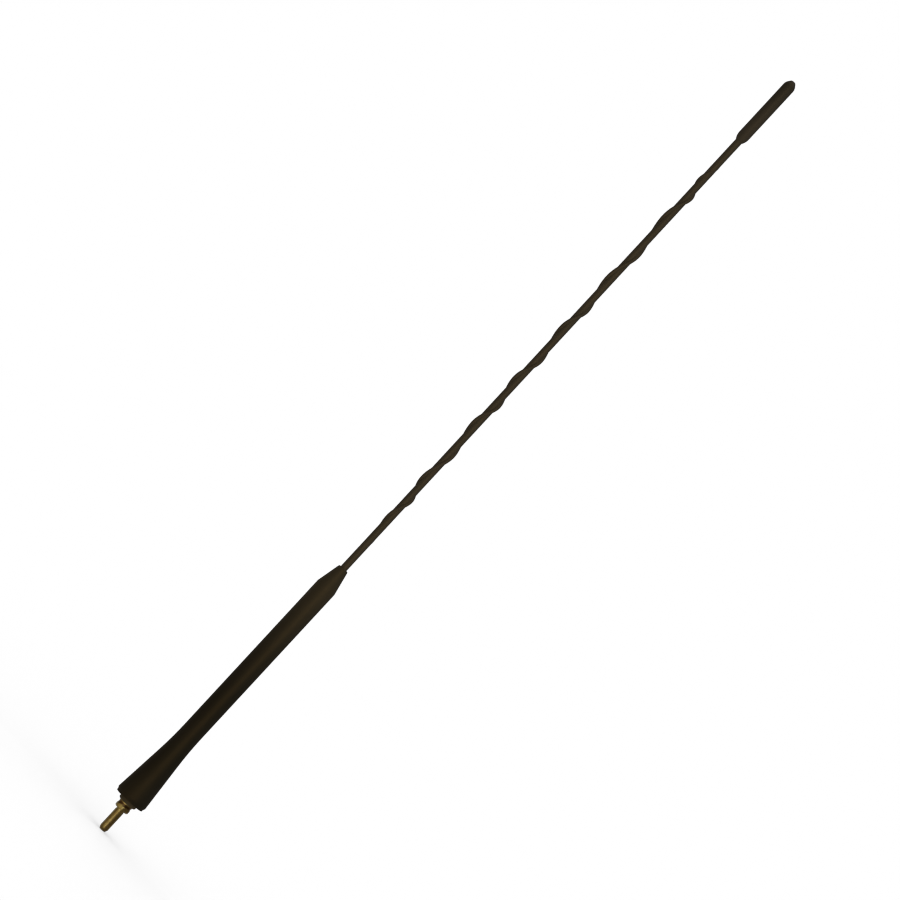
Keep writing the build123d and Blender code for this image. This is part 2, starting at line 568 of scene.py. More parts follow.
def turned(name: str, corners: Sequence[Corner], columns: int, closed: bool) -> Object:
    """Turn an outline round the mast's axis into a mesh object.

    Args:
        name: Name of the piece.
        corners: Outline, closed for a tube, or open with both ends on the axis.
        columns: Faces round the axis.
        closed: Whether the outline is closed.

    Returns:
        The new object, at the origin.
    """
    shape = bmesh.new()
    rings = []
    for point in rounded(corners, closed):
        radius, height = point * MM
        if radius == 0:
            rings.append([shape.verts.new((0, 0, height))] * columns)
            continue
        ring = []
        for k in range(columns):
            angle = 2 * math.pi * k / columns
            ring.append(shape.verts.new((radius * math.cos(angle), radius * math.sin(angle), height)))
        rings.append(ring)
    pairs = list(zip(rings, rings[1:]))
    if closed:
        pairs.append((rings[-1], rings[0]))
    for lower, upper in pairs:
        for k in range(columns):
            after = (k + 1) % columns
            # On the axis two of the four corners are one, which leaves a triangle
            shape.faces.new(dict.fromkeys((lower[k], lower[after], upper[after], upper[k])))
    bmesh.ops.recalc_face_normals(shape, faces=shape.faces)
    mesh = bpy.data.meshes.new(name)
    shape.to_mesh(mesh)
    shape.free()
    return add_object(name, mesh)


def span(node: str) -> tuple[float, float, float]:
    """Lowest height, highest height and largest radius of a solid, in millimetres."""
    low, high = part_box(node)
    return low.z / MM, high.z / MM, high.y / MM


def stand_in(piece: Object, node: str, sharp: float = 35.0) -> None:
    """Let a finished piece ride the mast in place of a solid, shaded smooth but for its sharp edges.

    Args:
        piece: The finished piece.
        node: Solid that it stands for.
        sharp: Edges that turn by more than this many degrees stay sharp.
    """
    piece.data.shade_smooth()
    piece.data.set_sharp_from_angle(angle=math.radians(sharp))
    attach(piece, BODY)
    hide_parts(node)
    log.info("%s stands for %s, %d faces", piece.name, node, len(piece.data.polygons))


def coat(node: str, finish: Finish) -> None:
    """Give a solid that is shown as it is its finish.

    Args:
        node: Name of the solid.
        finish: What it is made of.
    """
    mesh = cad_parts[node].data
    mesh.materials.clear()
    mesh.materials.append(finish.material())
    log.info("%s keeps its solid, in %s", node, finish.name)


class GeometryRule(ABC):
    """A tree of geometry nodes that shapes a piece by a rule, with named inputs for its sizes."""

    name: ClassVar[str]
    sizes: ClassVar[tuple[str, ...]]

    @abstractmethod
    def shape(self, tree: NodeTree, given: Node) -> Node:
        """Add the nodes of the rule to a tree.

        Args:
            tree: Tree with its inputs.
            given: Node that gives the blank and the sizes.

        Returns:
            Node whose first output is the shaped geometry.
        """

    def tree(self) -> NodeTree:
        """Make the rule's tree once.

        Returns:
            The new tree, or the one that was made before.
        """
        known = bpy.data.node_groups.get(self.name)
        if known:
            return known
        made = bpy.data.node_groups.new(self.name, "GeometryNodeTree")
        made.interface.new_socket("Blank", in_out="INPUT", socket_type="NodeSocketGeometry")
        for size in self.sizes:
            made.interface.new_socket(size, in_out="INPUT", socket_type="NodeSocketFloat")
        made.interface.new_socket("Finish", in_out="INPUT", socket_type="NodeSocketMaterial")
        made.interface.new_socket("Piece", in_out="OUTPUT", socket_type="NodeSocketGeometry")
        given = add_node(made, "NodeGroupInput")
        whole = add_node(made, "GeometryNodeRealizeInstances", {0: self.shape(made, given)})
        dressed = add_node(
            made, "GeometryNodeSetMaterial", {"Geometry": whole, "Material": given.outputs["Finish"]}
        )
        add_node(made, "NodeGroupOutput", {0: dressed})
        return made

    def put_on(self, piece: Object, finish: Finish, **sizes: float) -> None:
        """Add the rule to a piece as a modifier.

        Args:
            piece: The blank.
            finish: What the piece is made of.
            sizes: Each size by its name in small letters, with lengths in metres and angles in radians.
        """
        modifier = piece.modifiers.new(self.name, "NODES")
        modifier.node_group = self.tree()
        for item in modifier.node_group.interface.items_tree:
            if item.in_out == "INPUT" and item.name in self.sizes:
                modifier[item.identifier] = float(sizes[item.name.lower().replace(" ", "_")])
            elif item.name == "Finish":
                modifier[item.identifier] = finish.material()


def settle(piece: Object) -> None:
    """Turn the result of a piece's rules into its plain mesh, and take the rules off.

    Args:
        piece: Piece with its rules on.
    """
    graph = bpy.context.evaluated_depsgraph_get()
    graph.update()
    result = bpy.data.meshes.new_from_object(piece.evaluated_get(graph), depsgraph=graph)
    piece.modifiers.clear()
    piece.data = result


@dataclass(frozen=True)
class AxisPlace:
    """Outputs that give where a point lies round the mast's axis."""

    point: Node
    radius: NodeSocket
    angle: Node
    height: NodeSocket

    @classmethod
    def read(cls, tree: NodeTree) -> "AxisPlace":
        """Add the nodes that work the place out.

        Args:
            tree: Tree that gets them.

        Returns:
            Their outputs.
        """
        point = add_node(tree, "GeometryNodeInputPosition")
        part = add_node(tree, "ShaderNodeSeparateXYZ", {0: point})
        level = add_node(tree, "ShaderNodeVectorMath", {0: point, 1: (1, 1, 0)}, operation="MULTIPLY")
        radius = add_node(tree, "ShaderNodeVectorMath", {0: level}, operation="LENGTH").outputs["Value"]
        angle = add_node(
            tree, "ShaderNodeMath", {0: part.outputs["Y"], 1: part.outputs["X"]}, operation="ARCTAN2"
        )
        return cls(point, radius, angle, part.outputs["Z"])


class CuttingRule(GeometryRule):
    """Cuts a turned blank down to a radius that its angle and height give, between two heights."""

    @abstractmethod
    def radius_left(self, tree: NodeTree, given: Node, place: AxisPlace) -> Node:
        """Add the nodes that give the radius at which the cut stops.

        Args:
            tree: Tree with its inputs.
            given: Node that gives the sizes.
            place: Where a point of the blank lies.

        Returns:
            Node whose first output is the radius.
        """

    def shape(self, tree: NodeTree, given: Node) -> Node:
        """Draw each point outside the cut in to it, straight towards the axis.

        Args:
            tree: Tree with its inputs.
            given: Node that gives the blank and the sizes.

        Returns:
            The node that moves the points.
        """
        size = given.outputs
        place = AxisPlace.read(tree)
        left = self.radius_left(tree, given, place)
        share = add_node(tree, "ShaderNodeMath", {0: left, 1: place.radius}, operation="DIVIDE")
        outside = add_node(tree, "ShaderNodeMath", {0: share, 1: 1.0}, operation="LESS_THAN")
        above = add_node(
            tree, "ShaderNodeMath", {0: place.height, 1: size["Bottom"]}, operation="GREATER_THAN"
        )
        below = add_node(tree, "ShaderNodeMath", {0: place.height, 1: size["Top"]}, operation="LESS_THAN")
        between = add_node(tree, "ShaderNodeMath", {0: above, 1: below}, operation="MULTIPLY")
        chosen = add_node(tree, "ShaderNodeMath", {0: between, 1: outside}, operation="MULTIPLY")
        scale = add_node(tree, "ShaderNodeCombineXYZ", {0: share, 1: share, 2: 1.0})
        moved = add_node(tree, "ShaderNodeVectorMath", {0: place.point, 1: scale}, operation="MULTIPLY")
        return add_node(
            tree,
            "GeometryNodeSetPosition",
            {"Geometry": size["Blank"], "Selection": chosen, "Position": moved},
        )


class HexagonRule(CuttingRule):
    """Mills a turned blank to a hexagon. Unturned, it has a corner to the front."""

    name = "mill_hexagon"
    sizes = ("Across Flats", "Turn", "Bottom", "Top")

    def radius_left(self, tree: NodeTree, given: Node, place: AxisPlace) -> Node:
        """Add the nodes that give the distance of the nearest flat, measured along a point's radius.

        Args:
            tree: Tree with its inputs.
            given: Node that gives the sizes.
            place: Where a point of the blank lies.

        Returns:
            The node of that distance.
        """
        size = given.outputs
        half_face = math.pi / 6
        from_first = add_node(tree, "ShaderNodeMath", {0: place.angle, 1: size["Turn"]}, operation="SUBTRACT")
        from_flat = add_node(
            tree, "ShaderNodeMath", {0: from_first, 1: half_face, 2: -half_face}, operation="WRAP"
        )
        lean = add_node(tree, "ShaderNodeMath", {0: from_flat}, operation="COSINE")
        half = add_node(tree, "ShaderNodeMath", {0: size["Across Flats"], 1: 0.5}, operation="MULTIPLY")
        return add_node(tree, "ShaderNodeMath", {0: half, 1: lean}, operation="DIVIDE")


class ThreadRule(CuttingRule):
    """Rolls a right-hand thread into a turned blank: a narrow round groove between wide crests."""

    name = "roll_thread"
    sizes = ("Outside Radius", "Pitch", "Depth", "Narrowness", "Bottom", "Top")

    def radius_left(self, tree: NodeTree, given: Node, place: AxisPlace) -> Node:
        """Add the nodes that give the groove's floor, which climbs by the pitch in a turn.

        Args:
            tree: Tree with its inputs.
            given: Node that gives the sizes.
            place: Where a point of the blank lies.

        Returns:
            The node of the floor's radius.
        """
        size = given.outputs
        turns = add_node(tree, "ShaderNodeMath", {0: place.height, 1: size["Pitch"]}, operation="DIVIDE")
        swing = add_node(tree, "ShaderNodeMath", {0: turns, 1: 2 * math.pi}, operation="MULTIPLY")
        phase = add_node(tree, "ShaderNodeMath", {0: swing, 1: place.angle}, operation="SUBTRACT")
        wave = add_node(tree, "ShaderNodeMath", {0: phase}, operation="COSINE")
        hollow = add_node(tree, "ShaderNodeMath", {0: wave, 1: 0.5, 2: 0.5}, operation="MULTIPLY_ADD")
        groove = add_node(tree, "ShaderNodeMath", {0: hollow, 1: size["Narrowness"]}, operation="POWER")
        sunk = add_node(tree, "ShaderNodeMath", {0: groove, 1: size["Depth"]}, operation="MULTIPLY")
        return add_node(tree, "ShaderNodeMath", {0: size["Outside Radius"], 1: sunk}, operation="SUBTRACT")


@dataclass(frozen=True)
class RidgeRule(GeometryRule):
    """Twists a tube and raises a round ridge along one side, so that the ridge winds up it as a spiral.

    The rise of each half turn is its own. A lead of some half turns more is added at each end, as steep as
    its neighbour, in which the ridge sinks into the tube.
    """

    name = "raise_spiral_ridge"
    sizes = (
        "Tube Radius", "Ridge Height", "Crown Radius", "Foot Rounding", "Fade", "Sway", "Bottom", "Top",
    )
    rises: tuple[float, ...]
    lead: int = 2
    face_share: float = 0.9  # points further out than this share of the tube's radius are on its face

    def heights(self) -> list[float]:
        """Heights of the half turns, from the start of the lower lead to the end of the upper one."""
        steps = self.rises[:1] * self.lead + self.rises + self.rises[-1:] * self.lead
        return list(accumulate(steps, initial=0.0))

    def draw_climb(self, mapping: CurveMapping) -> None:
        """Set a curve that gives the share of all half turns at each share of the height.

        Args:
            mapping: Curve of a float curve node.
        """
        heights = self.heights()
        line = mapping.curves[0]
        last = len(heights) - 1
        for i in range(1, last):
            line.points.new(heights[i] / heights[last], i / last)
        mapping.update()

    def half_turns(self, tree: NodeTree, given: Node, place: AxisPlace) -> Node:
        """Add the nodes that give the half turns of the spiral at a height, counted from the first crest.

        Args:
            tree: Tree with its inputs.
            given: Node that gives the sizes.
            place: Where a point of the tube lies.

        Returns:
            The node of the half turns.
        """
        size = given.outputs
        share = add_node(
            tree,
            "ShaderNodeMapRange",
            {"Value": place.height, "From Min": size["Bottom"], "From Max": size["Top"]},
        )
        climb = add_node(tree, "ShaderNodeFloatCurve", {"Value": share})
        self.draw_climb(climb.mapping)
        all_turns = len(self.rises) + 2 * self.lead
        even = add_node(
            tree, "ShaderNodeMath", {0: climb, 1: all_turns, 2: -self.lead}, operation="MULTIPLY_ADD"
        )
        # The ridge lies a little longer on the left of the mast than on the right
        beat = add_node(tree, "ShaderNodeMath", {0: even, 1: math.pi}, operation="MULTIPLY")
        wobble = add_node(tree, "ShaderNodeMath", {0: beat}, operation="SINE")
        lag = add_node(tree, "ShaderNodeMath", {0: wobble, 1: size["Sway"]}, operation="MULTIPLY")
        return add_node(tree, "ShaderNodeMath", {0: even, 1: lag}, operation="SUBTRACT")

    def sunk(self, tree: NodeTree, given: Node, turned_by: Node) -> Node:
        """Add the nodes that give how far the ridge has sunk into the tube near its two ends.

        Args:
            tree: Tree with its inputs.
            given: Node that gives the sizes.
            turned_by: Node of the half turns.

        Returns:
            Node whose first output is 0 where the ridge stands and 1 where it is gone.
        """
        fade = given.outputs["Fade"]
        to_top = add_node(tree, "ShaderNodeMath", {0: len(self.rises), 1: turned_by}, operation="SUBTRACT")
        from_end = add_node(tree, "ShaderNodeMath", {0: turned_by, 1: to_top}, operation="MINIMUM")
        before = add_node(tree, "ShaderNodeMath", {0: fade, 1: -1.0}, operation="MULTIPLY")
        return add_node(
            tree,
            "ShaderNodeMapRange",
            {"Value": from_end, "From Min": before, "From Max": fade, "To Min": 1.0, "To Max": 0.0},
            interpolation_type="SMOOTHSTEP",
        )

    def raised(self, tree: NodeTree, given: Node, place: AxisPlace, sunk: Node) -> Node:
        """Add the nodes that give a point's radius on the ridge: a round crown with a soft foot.

        Args:
            tree: Tree with its inputs.
            given: Node that gives the sizes.
            place: Where a point of the tube lies, with its angle counted from the crest.
            sunk: Node that gives how far the ridge has sunk.

        Returns:
            The node of the radius.
        """
        here = place.radius
        tube = given.outputs["Tube Radius"]
        rise = given.outputs["Ridge Height"]
        crown = given.outputs["Crown Radius"]
        drop = add_node(tree, "ShaderNodeMath", {0: sunk, 1: rise}, operation="MULTIPLY")
        crest = add_node(tree, "ShaderNodeMath", {0: tube, 1: rise}, operation="ADD")
        core = add_node(tree, "ShaderNodeMath", {0: crest, 1: crown}, operation="SUBTRACT")
        centre = add_node(tree, "ShaderNodeMath", {0: core, 1: drop}, operation="SUBTRACT")
        sine = add_node(tree, "ShaderNodeMath", {0: place.angle}, operation="SINE")
        cosine = add_node(tree, "ShaderNodeMath", {0: place.angle}, operation="COSINE")
        aside = add_node(tree, "ShaderNodeMath", {0: centre, 1: sine}, operation="MULTIPLY")
        aside_squared = add_node(tree, "ShaderNodeMath", {0: aside, 1: aside}, operation="MULTIPLY")
        crown_squared = add_node(tree, "ShaderNodeMath", {0: crown, 1: crown}, operation="MULTIPLY")
        left = add_node(tree, "ShaderNodeMath", {0: crown_squared, 1: aside_squared}, operation="SUBTRACT")
        inside = add_node(tree, "ShaderNodeMath", {0: left, 1: 0.0}, operation="MAXIMUM")
        bulge = add_node(tree, "ShaderNodeMath", {0: inside}, operation="SQRT")
        ridge = add_node(tree, "ShaderNodeMath", {0: centre, 1: cosine, 2: bulge}, operation="MULTIPLY_ADD")
        risen = add_node(tree, "ShaderNodeMath", {0: 1.0, 1: sunk}, operation="SUBTRACT")
        foot = add_node(
            tree, "ShaderNodeMath", {0: risen, 1: given.outputs["Foot Rounding"]}, operation="MULTIPLY"
        )
        outline = add_node(tree, "ShaderNodeMath", {0: here, 1: ridge, 2: foot}, operation="SMOOTH_MAX")
        wall = add_node(tree, "ShaderNodeMath", {0: tube, 1: self.face_share}, operation="MULTIPLY")
        on_face = add_node(tree, "ShaderNodeMath", {0: here, 1: wall}, operation="GREATER_THAN")
        gain = add_node(tree, "ShaderNodeMath", {0: outline, 1: here}, operation="SUBTRACT")
        return add_node(tree, "ShaderNodeMath", {0: gain, 1: on_face, 2: here}, operation="MULTIPLY_ADD")

    def shape(self, tree: NodeTree, given: Node) -> Node:
        """Move each point out to the ridge, then round the axis by the spiral's turn at its height.

        Args:
            tree: Tree with its inputs.
            given: Node that gives the blank and the sizes.

        Returns:
            The node that moves the points.
        """
        place = AxisPlace.read(tree)
        turned_by = self.half_turns(tree, given, place)
        out = self.raised(tree, given, place, self.sunk(tree, given, turned_by))
        # The first crest is on the left as seen from the front
        swing = add_node(
            tree, "ShaderNodeMath", {0: turned_by, 1: math.pi, 2: math.pi}, operation="MULTIPLY_ADD"
        )
        angle = add_node(tree, "ShaderNodeMath", {0: swing, 1: place.angle}, operation="ADD")
        east = add_node(tree, "ShaderNodeMath", {0: angle}, operation="COSINE")
        north = add_node(tree, "ShaderNodeMath", {0: angle}, operation="SINE")
        ray = add_node(tree, "ShaderNodeCombineXYZ", {0: east, 1: north})
        aim = add_node(tree, "ShaderNodeVectorMath", {0: ray, "Scale": out}, operation="SCALE")
        height = add_node(tree, "ShaderNodeCombineXYZ", {2: place.height})
        moved = add_node(tree, "ShaderNodeVectorMath", {0: aim, 1: height}, operation="ADD")
        return add_node(
            tree, "GeometryNodeSetPosition", {"Geometry": given.outputs["Blank"], "Position": moved}
        )


@dataclass(frozen=True)
class WindingRule(GeometryRule):
    """Winds a wire close round a former, with a straight lead at each end."""

    name = "wind_coil"
    sizes = ("Turns", "Winding Radius", "Wire Radius", "Bottom", "Top", "Lead Bottom", "Lead Top")
    points_per_turn: int = 24
    wire_sides: int = 6

    def shape(self, tree: NodeTree, given: Node) -> Node:
        """Sweep the round wire along the winding and its leads.

        Args:
            tree: Tree with its inputs.
            given: Node that gives the sizes.

        Returns:
            The node that sweeps the wire.
        """
        size = given.outputs
        height = add_node(tree, "ShaderNodeMath", {0: size["Top"], 1: size["Bottom"]}, operation="SUBTRACT")
        winding = add_node(
            tree,
            "GeometryNodeCurveSpiral",
            {
                "Resolution": self.points_per_turn,
                "Rotations": size["Turns"],
                "Start Radius": size["Winding Radius"],
                "End Radius": size["Winding Radius"],
                "Height": height,
            },
        )
        foot = add_node(tree, "ShaderNodeCombineXYZ", {2: size["Bottom"]})
        runs = [add_node(tree, "GeometryNodeTransform", {"Geometry": winding, "Translation": foot})]
        for near, far in (("Lead Bottom", "Bottom"), ("Top", "Lead Top")):
            start = add_node(tree, "ShaderNodeCombineXYZ", {0: size["Winding Radius"], 2: size[near]})
            end = add_node(tree, "ShaderNodeCombineXYZ", {0: size["Winding Radius"], 2: size[far]})
            runs.append(add_node(tree, "GeometryNodeCurvePrimitiveLine", {"Start": start, "End": end}))
        wire = add_node(tree, "GeometryNodeJoinGeometry")
        for run in runs:
            tree.links.new(run.outputs[0], wire.inputs[0])
        section = add_node(
            tree,
            "GeometryNodeCurvePrimitiveCircle",
            {"Resolution": self.wire_sides, "Radius": size["Wire Radius"]},
        )
        return add_node(
            tree, "GeometryNodeCurveToMesh", {"Curve": wire, "Profile Curve": section, "Fill Caps": True}
        )


class Assembly(ABC):
    """A part of the mast that is built and dressed together."""

    @abstractmethod
    def build(self) -> None:
        """Make the meshes of the pieces."""

    @abstractmethod
    def dress(self) -> None:
        """Give the pieces their finish and let them ride the mast."""


@dataclass
class Stud(Assembly):
    """Brass stud: threaded pin, hexagon for the spanner, rounded bead and the tang in the former."""

    thread_diameter: float = 5.0
    thread_pitch: float = 0.8
    thread_depth: float = 0.2
    thread_narrowness: float = 4.0  # the higher, the narrower the groove beside its crest
    tip_diameter: float = 3.4
    tip_length: float = 1.7
    tip_rounding: float = 0.3
    relief_diameter: float = 4.7
    relief_length: float = 0.9
    relief_rounding: float = 0.15
    hex_across_flats: float = 8.0
    hex_turn: float = 9.0  # degrees that its front corner stands to the right
    hex_height: float = 2.7
    hex_face_diameter: float = 7.3
    hex_chamfer: float = 0.5
    corner_diameter: float = 8.7  # the blank is turned to this before milling, which blunts the corners
    corner_rounding: float = 0.6
    groove_diameter: float = 7.8  # shallow groove between hexagon and bead
    groove_top: float = 3.5
    bead_diameter: float = 8.2
    bead_bottom: float = 3.85
    bead_top: float = 4.62
    bead_rounding: float = 0.35
    tang_across_flats: float = 5.5
    columns: int = 120
    rows_per_turn: int = 16
    row: float = 0.3
    fine_row: float = 0.04
    sharp: float = 40.0  # degrees
    piece: Object = field(init=False)

    def build(self) -> None:
        """Turn the blank, mill its two hexagons and roll its thread."""
        bottom, top, _ = span("mounting_stud")
        pin = self.thread_diameter / 2
        relief = self.relief_diameter / 2
        slope = pin - relief
        face = self.hex_face_diameter / 2
        corner = self.corner_diameter / 2
        groove = self.groove_diameter / 2
        bead = self.bead_diameter / 2
        tang = self.tang_across_flats / 2 / math.cos(math.pi / 6)
        thread_row = self.thread_pitch / self.rows_per_turn
        outline = [
            Corner(0, bottom),
            Corner(self.tip_diameter / 2, bottom, self.tip_rounding),
            Corner(pin, bottom + self.tip_length, self.tip_rounding, thread_row),
            Corner(pin, -self.relief_length - slope, 0, thread_row),
            Corner(relief, -self.relief_length),
            Corner(relief, 0, self.relief_rounding),
            Corner(face, 0, 0, self.fine_row),
            Corner(corner, self.hex_chamfer, 0, self.row),
            Corner(corner, self.hex_height - self.hex_chamfer, self.corner_rounding, self.fine_row),
            Corner(groove, self.hex_height),
            Corner(groove, self.groove_top),
            Corner(bead, self.bead_bottom, self.bead_rounding),
            Corner(bead, self.bead_top, self.bead_rounding),
            Corner(tang, self.bead_top, 0, self.row),
            Corner(tang, top),
            Corner(0, top),
        ]
        self.piece = turned("brass_stud", outline, self.columns, closed=False)
        half_row = self.fine_row / 2
        for flats, turn, low, high in (
            (self.hex_across_flats, self.hex_turn, -half_row, self.hex_height + half_row),
            (self.tang_across_flats, 0.0, self.bead_top + half_row, top + half_row),
        ):
            HexagonRule().put_on(
                self.piece,
                STUD_BRASS,
                across_flats=flats * MM,
                turn=math.radians(turn),
                bottom=low * MM,
                top=high * MM,
            )
        ThreadRule().put_on(
            self.piece,
            STUD_BRASS,
            outside_radius=pin * MM,
            pitch=self.thread_pitch * MM,
            depth=self.thread_depth * MM,
            narrowness=self.thread_narrowness,
            bottom=(bottom + half_row) * MM,
            top=-self.relief_length * MM,
        )

    def dress(self) -> None:
        """Make the worked blank a plain mesh and put it in the solid's place."""
        settle(self.piece)
        stand_in(self.piece, "mounting_stud", self.sharp)


@dataclass
class Base(Assembly):
    """Flared rubber sleeve, and the seal ring under its foot."""

    sleeve_diameter: float = 11.9
    sleeve_bore: float = 8.2
    rim_height: float = 2.1
    lip_diameter: float = 17.8
    lip_height: float = 0.8
    lip_edge: float = 0.12
    flare_length: float = 41.0
    waist_radius: float = 215.0
    shoulder_length: float = 13.8
    shoulder_rounding: float = 4.0
    neck_diameter: float = 5.9
    neck_bore: float = 4.0
    neck_grip: float = 29.0
    edge: float = 0.35  # usual rounding of an edge
    ring_bore: float = 6.5
    ring_chamfer: float = 0.5
    ring_lift: float = 0.12  # the bead presses the underside of the soft ring up by this much
    ring_top_chamfer: float = 0.25
    columns: int = 128
    row: float = 2.0
    long_row: float = 4.0
    sleeve: Object = field(init=False)
    ring: Object = field(init=False)

    def build(self) -> None:
        """Turn the sleeve and the ring."""
        foot, top, rim = span("base_sleeve")
        half = self.sleeve_diameter / 2
        lip = self.lip_diameter / 2
        bore = self.sleeve_bore / 2
        throat = self.neck_bore / 2
        sleeve = [
            Corner(bore, foot),
            Corner(lip, foot, self.lip_edge),
            Corner(lip, foot + self.lip_height, self.edge),
            Corner(rim, foot + self.rim_height, 2 * self.edge, self.row),
            Corner(half, foot + self.flare_length, self.waist_radius, self.long_row),
            Corner(half, top - self.shoulder_length, self.shoulder_rounding, self.row),
            Corner(self.neck_diameter / 2, top, 2 * self.edge),
            Corner(throat, top),
            Corner(throat, top - self.neck_grip),
            Corner(bore, top - self.neck_grip),
        ]
        self.sleeve = turned("rubber_sleeve", sleeve, self.columns, closed=True)
        low, high, outside = span("seal_ring")
        under = low + self.ring_lift
        seal = [
            Corner(self.ring_bore / 2, under),
            Corner(outside - self.ring_chamfer, under, self.edge / 2),
            Corner(outside, under + self.ring_chamfer, self.edge),
            Corner(outside, high - self.ring_top_chamfer, self.edge / 2),
            Corner(outside - self.ring_top_chamfer, high),
            Corner(self.ring_bore / 2, high),
        ]
        self.ring = turned("rubber_seal_ring", seal, self.columns, closed=True)

    def dress(self) -> None:
        """Shade both pieces as rubber and put them in the places of their solids."""
        for piece, finish, node, slot in (
            (self.sleeve, SLEEVE_RUBBER, "base_sleeve", Slot.SLEEVE),
            (self.ring, RING_RUBBER, "seal_ring", Slot.RING),
        ):
            piece.data.materials.append(finish.material())
            stand_in(piece, node)


@dataclass
class Loading(Assembly):
    """What the sleeve hides: nylon former, copper loading coil and the ferrule that holds the rod."""

    core_diameter: float = 5.6
    clearance: float = 0.05
    wire: float = 0.5
    core_bottom: float = 35.7  # the core lies between the former's two collars
    core_top: float = 117.0
    end_gap: float = 2.0  # bare core beside each collar
    sharp: float = 65.0  # degrees, so that the wire's few sides look round
    coil: Object = field(init=False)

    def build(self) -> None:
        """Wind the coil."""
        low, high, _ = span("loading_coil")
        radius = self.core_diameter / 2 + self.clearance + self.wire / 2
        bottom = self.core_bottom + self.end_gap
        top = self.core_top - self.end_gap
        self.coil = add_object("copper_loading_coil", bpy.data.meshes.new("copper_loading_coil"))
        WindingRule().put_on(
            self.coil,
            COPPER,
            turns=math.floor((top - bottom) / self.wire),
            winding_radius=radius * MM,
            wire_radius=self.wire / 2 * MM,
            bottom=bottom * MM,
            top=top * MM,
            lead_bottom=low * MM,
            lead_top=high * MM,
        )

    def dress(self) -> None:
        """Put the coil in its solid's place, and finish the solids that stay."""
        settle(self.coil)
        stand_in(self.coil, "loading_coil", self.sharp)
        coat("coil_former", NYLON)
        coat("whip_ferrule", FERRULE_BRASS)


@dataclass
class Whip(Assembly):
    """Steel rod in a black sheath with a spiral ridge, uneven in its rise."""

    bore_diameter: float = 2.7
    tube_diameter: float = 3.9
    first_crest: float = 213.0
    ridge_height: float = 1.15
    crown_radius: float = 1.0
    foot_rounding: float = 0.35
    fade: float = 1.5  # the ridge sinks from this many half turns inside an end crest to as many outside it
    sway: float = 0.05  # half turns by which it lags between two crests
    # From each crest to the next, which is half a turn further round
    rises: tuple[float, ...] = (
        15.2, 14.0, 19.5, 20.5, 16.0, 17.0, 16.5, 20.5, 16.5, 20.5, 20.0, 24.5, 17.5, 11.0,
    )
    columns: int = 96
    row: float = 0.8
    sheath: Object = field(init=False)

    def build(self) -> None:
        """Turn the plain tube of the sheath and raise its ridge."""
        low, high, _ = span("whip_sheath")
        tube = self.tube_diameter / 2
        bore = self.bore_diameter / 2
        outline = [
            Corner(bore, low),
            Corner(tube, low, 0, self.row),
            Corner(tube, high),
            Corner(bore, high),
        ]
        self.sheath = turned("spiral_sheath", outline, self.columns, closed=True)
        rule = RidgeRule(self.rises)
        bottom = self.first_crest - rule.heights()[rule.lead]
        rule.put_on(
            self.sheath,
            SHEATH_PLASTIC,
            tube_radius=tube * MM,
            ridge_height=self.ridge_height * MM,
            crown_radius=self.crown_radius * MM,
            foot_rounding=self.foot_rounding * MM,
            fade=self.fade,
            sway=self.sway,
            bottom=bottom * MM,
            top=(bottom + rule.heights()[-1]) * MM,
        )

    def dress(self) -> None:
        """Make the twisted tube a plain mesh, put it in the solid's place and finish the rod."""
        settle(self.sheath)
        stand_in(self.sheath, "whip_sheath")
        coat("whip_rod", STEEL)


@dataclass
class TipCap(Assembly):
    """Moulded cap with a swelling shoulder and a blunt round nose."""

    bore_diameter: float = 4.0
    bore_depth: float = 28.0
    mouth_wall: float = 0.1
    shoulder_length: float = 4.2
    shoulder_swell: float = 2.2  # 1 makes the shoulder a cone, more makes it fuller
    shoulder_steps: int = 14
    nose_length: float = 2.9
    nose_diameter: float = 2.4
    nose_rounding: float = 1.4
    cheek_rounding: float = 4.5
    columns: int = 96
    cap: Object = field(init=False)

    def build(self) -> None:
        """Turn the cap, from its bore over the shoulder to the nose."""
        low, high, radius = span("tip_cap")
        bore = self.bore_diameter / 2
        mouth = bore + self.mouth_wall
        outline = [
            Corner(0, low + self.bore_depth),
            Corner(bore, low + self.bore_depth),
            Corner(bore, low),
        ]
        for k in range(self.shoulder_steps + 1):
            along = k / self.shoulder_steps
            swelling = 1 - (1 - along) ** self.shoulder_swell
            outline.append(Corner(mouth + (radius - mouth) * swelling, low + self.shoulder_length * along))
        outline += [
            Corner(radius, high - self.nose_length, self.cheek_rounding),
            Corner(self.nose_diameter / 2, high, self.nose_rounding),
            Corner(0, high),
        ]
        self.cap = turned("tip_cap_moulding", outline, self.columns, closed=False)

    def dress(self) -> None:
        """Shade the cap as plastic and put it in its solid's place."""
        self.cap.data.materials.append(CAP_PLASTIC.material())
        stand_in(self.cap, "tip_cap")


@dataclass(frozen=True)
class Lamp:
    """An area lamp that looks at the mast, placed by its bearing from the front in degrees, and in metres."""

    name: str
    bearing: float
    elevation: float = 6.0
    distance: float = 1.4
    width: float = 1.6
    height: float = 0.7
    watts: float = 9.0

    def place(self, target: Vector) -> None:
        """Hang the lamp so that it faces a target, with its height along the mast.

        Args:
            target: What it faces, in metres.
        """
        bearing = math.radians(self.bearing)
        rise = math.radians(self.elevation)
        level = math.cos(rise)
        away = Vector((math.sin(bearing) * level, -math.cos(bearing) * level, math.sin(rise)))
        data = bpy.data.lights.new(self.name, "AREA")
        data.shape = "RECTANGLE"
        data.size = self.width
        data.size_y = self.height
        data.energy = self.watts
        lamp = add_object(self.name, data)
        lamp.location = target + away * self.distance
        lamp.rotation_mode = "QUATERNION"
        lamp.rotation_quaternion = (-away).to_track_quat("-Z", "Y")
        lamp.visible_camera = False
        lamp.visible_glossy = False


